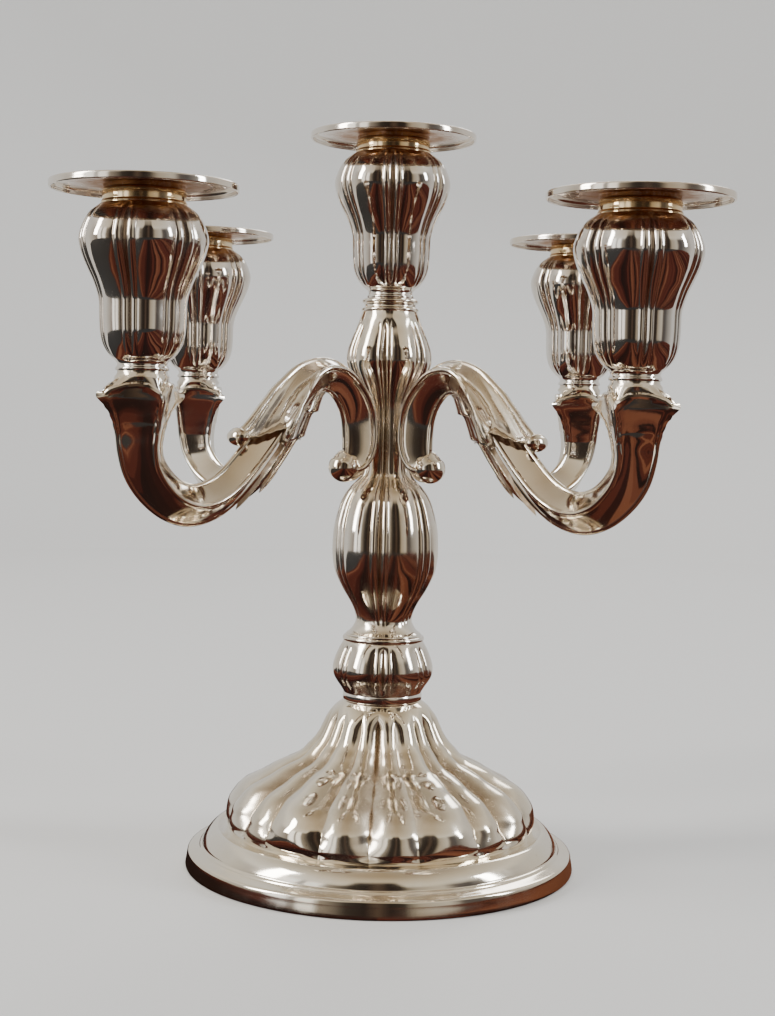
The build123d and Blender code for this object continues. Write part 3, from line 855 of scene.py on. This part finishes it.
def floor_material():
    """A plain pale floor; in the metal it shows as a table of dark planks before a pale wall."""
    material = bpy.data.materials.new("floor_pale")
    material.use_nodes = True
    tree = material.node_tree
    pale = tree.nodes["Principled BSDF"]
    pale.inputs["Base Color"].default_value = (0.8, 0.79, 0.775, 1)
    pale.inputs["Roughness"].default_value = 0.7
    where = tree.nodes.new("ShaderNodeTexCoord")
    turn = tree.nodes.new("ShaderNodeMapping")
    turn.inputs["Rotation"].default_value = (0, 0, math.radians(-45))
    tree.links.new(where.outputs["Object"], turn.inputs["Vector"])
    split = tree.nodes.new("ShaderNodeSeparateXYZ")
    tree.links.new(turn.outputs["Vector"], split.inputs[0])
    across, depth = split.outputs["X"], split.outputs["Y"]
    plank = math_node(tree, "FLOOR", math_node(tree, "DIVIDE", across, PLANK_WIDTH))
    tint = tree.nodes.new("ShaderNodeTexWhiteNoise")
    tint.noise_dimensions = "1D"
    tree.links.new(plank, tint.inputs["W"])
    color = ramp(tree, tint.outputs["Value"], PLANK_COLORS)
    color = mixed_color(tree, math_node(tree, "LESS_THAN", across, TABLE_LEFT), color, BESIDE_TABLE)
    color = mixed_color(tree, math_node(tree, "LESS_THAN", depth, TABLE_FRONT), color, BESIDE_TABLE)
    color = mixed_color(tree, math_node(tree, "GREATER_THAN", depth, TABLE_BACK), color, BEHIND_TABLE)
    reflected = tree.nodes.new("ShaderNodeBsdfDiffuse")
    tree.links.new(color, reflected.inputs["Color"])
    seen_in_metal(tree, pale, reflected, "Material Output")
    return material


# The floor and the backdrop, in metres.
FLOOR_R = 1.4
SWEEP_R = 0.9  # of the bend from the floor up to the backdrop
BACKDROP_HIGH = 4.0


def stage_piece(name, profile, low_cap=False):
    a = np.radians(np.arange(0, 360, 5))
    rows = [np.stack([r * np.cos(a), r * np.sin(a), np.full(len(a), z)], 1) / MM for r, z in profile]
    obj = grid_object(name, rows, low_cap=low_cap)
    paint(obj, floor_material())
    return obj


def build_floor():
    """A round floor with a seamless backdrop that only the camera sees."""
    stage_piece("floor", [(0.02, 0.0), (0.3, 0.0), (0.7, 0.0), (FLOOR_R, 0.0)], low_cap=True)
    sweep = [(FLOOR_R + SWEEP_R * math.sin(a), SWEEP_R * (1 - math.cos(a)))
             for a in np.linspace(0, math.pi / 2, 15)]
    backdrop = stage_piece("backdrop", sweep + [(FLOOR_R + SWEEP_R, BACKDROP_HIGH)])
    for flag in ("visible_glossy", "visible_diffuse", "visible_shadow", "visible_transmission"):
        setattr(backdrop, flag, False)


def area_light(name, at, size, power, color):
    data = bpy.data.lights.new(name, "AREA")
    data.shape = "RECTANGLE"
    data.size, data.size_y = size
    data.energy = power
    data.color = color
    lamp = bpy.data.objects.new(name, data)
    bpy.context.scene.collection.objects.link(lamp)
    lamp.location = at
    lamp.rotation_mode = "QUATERNION"
    lamp.rotation_quaternion = (Vector((0, 0, 0.3)) - Vector(at)).to_track_quat("-Z", "Y")
    lamp.visible_camera = False


# Colours of the room that the metal reflects, round the object: (bearing in degrees from the open
# side of the room, counted towards +X+Y, colour near the horizon, colour overhead). The dark open
# side, bearing 0, is the side on which the camera stands.
ROOM = [
    (-180, (0.80, 0.79, 0.77), (0.86, 0.83, 0.76)),
    (-112, (0.78, 0.76, 0.72), (0.95, 0.92, 0.85)),
    (-88, (0.55, 0.51, 0.46), (1.0, 0.96, 0.88)),
    (-70, (0.30, 0.26, 0.22), (1.0, 0.95, 0.86)),
    (-64, (1.9, 1.87, 1.8), (1.0, 0.95, 0.85)),
    (-55, (1.9, 1.87, 1.8), (1.0, 0.95, 0.85)),
    (-53, (0.5, 0.47, 0.43), (1.0, 0.94, 0.83)),
    (-49, (0.5, 0.47, 0.43), (0.98, 0.92, 0.81)),
    (-47, (1.7, 1.65, 1.55), (0.98, 0.91, 0.8)),
    (-38, (1.6, 1.55, 1.45), (0.97, 0.90, 0.78)),
    (-34, (0.36, 0.31, 0.25), (0.94, 0.86, 0.73)),
    (-18, (0.05, 0.04, 0.032), (0.90, 0.81, 0.66)),
    (-7, (0.03, 0.022, 0.018), (0.88, 0.79, 0.64)),
    (0, (0.10, 0.068, 0.048), (0.86, 0.76, 0.60)),
    (7, (0.03, 0.022, 0.018), (0.85, 0.76, 0.60)),
    (15, (0.045, 0.034, 0.027), (0.84, 0.75, 0.60)),
    (24, (0.48, 0.41, 0.31), (0.84, 0.76, 0.62)),
    (42, (0.66, 0.60, 0.50), (0.84, 0.77, 0.64)),
    (50, (0.12, 0.10, 0.09), (0.84, 0.77, 0.65)),
    (60, (0.10, 0.09, 0.085), (0.85, 0.79, 0.68)),
    (90, (0.45, 0.42, 0.38), (0.86, 0.81, 0.72)),
    (112, (0.72, 0.70, 0.67), (0.86, 0.82, 0.75)),
    (180, (0.80, 0.79, 0.77), (0.86, 0.83, 0.76)),
]

# How much higher the dark part reaches at the room's open side: (bearing, rise).
OPENING = [(-180, 0.0), (-24, 0.0), (-16, 0.2), (12, 0.22), (20, 0.0), (180, 0.0)]

# Heights in the room, as the upward share of the direction to them.
CEILING_FROM = 0.42
CEILING_TO = 0.58
ZENITH = [(0.6, (1, 1, 1)), (0.8, (0.80, 0.75, 0.68)), (0.93, (0.52, 0.46, 0.38))]


def room_color(tree):
    """Colour of the reflected room in each direction."""
    where = tree.nodes.new("ShaderNodeTexCoord")
    split = tree.nodes.new("ShaderNodeSeparateXYZ")
    tree.links.new(where.outputs["Generated"], split.inputs[0])
    x, y, z = split.outputs
    bearing = math_node(tree, "ARCTAN2", math_node(tree, "ADD", x, y), math_node(tree, "SUBTRACT", x, y))
    turn = math_node(tree, "MULTIPLY_ADD", bearing, 0.5 / math.pi, 0.5)
    level = ramp(tree, turn, [(0.5 + b / 360, low) for b, low, high in ROOM])
    above = ramp(tree, turn, [(0.5 + b / 360, high) for b, low, high in ROOM])
    opening = ramp(tree, turn, [(0.5 + b / 360, grey(high)) for b, high in OPENING])
    rise = tree.nodes.new("ShaderNodeMapRange")
    rise.interpolation_type = "SMOOTHSTEP"
    rise.inputs["From Min"].default_value = CEILING_FROM
    rise.inputs["From Max"].default_value = CEILING_TO
    tree.links.new(math_node(tree, "SUBTRACT", z, opening), rise.inputs["Value"])
    ceiling = mixed_color(tree, 1.0, above, ramp(tree, z, ZENITH), "MULTIPLY")
    return mixed_color(tree, rise.outputs[0], level, ceiling)


def build_world():
    """Pale all round for the camera and soft light; the metal reflects the room."""
    world = bpy.data.worlds.new("studio")
    bpy.context.scene.world = world
    world.use_nodes = True
    tree = world.node_tree
    pale = tree.nodes["Background"]
    pale.inputs["Color"].default_value = (0.80, 0.80, 0.79, 1)
    pale.inputs["Strength"].default_value = 0.85
    room = tree.nodes.new("ShaderNodeBackground")
    tree.links.new(room_color(tree), room.inputs["Color"])
    room.inputs["Strength"].default_value = 0.95
    seen_in_metal(tree, pale, room, "World Output")


def build_light():
    build_world()
    area_light("window_left", (-0.78, -1.42, 0.95), (0.42, 1.15), 26, (1.0, 0.98, 0.95))
    area_light("window_right", (1.5, 0.95, 0.85), (0.3, 0.9), 16, (0.92, 0.96, 1.0))
    area_light("back", (-0.9, 1.5, 1.3), (1.2, 0.5), 10, (1.0, 1.0, 1.0))


def build_camera():
    data = bpy.data.cameras.new("camera")
    data.lens = FOCAL_LENGTH
    data.sensor_width = SENSOR
    data.sensor_fit = "AUTO"
    camera = bpy.data.objects.new("camera", data)
    bpy.context.scene.collection.objects.link(camera)
    camera.location = CAMERA_AT
    a, p = math.radians(CAMERA_AZIMUTH), math.radians(CAMERA_PITCH)
    forward = Vector((-math.sin(a) * math.cos(p), math.cos(a) * math.cos(p), -math.sin(p)))
    turn = forward.to_track_quat("-Z", "Y")
    camera.rotation_mode = "QUATERNION"
    camera.rotation_quaternion = turn @ Quaternion((0, 0, 1), math.radians(CAMERA_ROLL))
    bpy.context.scene.camera = camera


build_floor()
build_light()
build_camera()
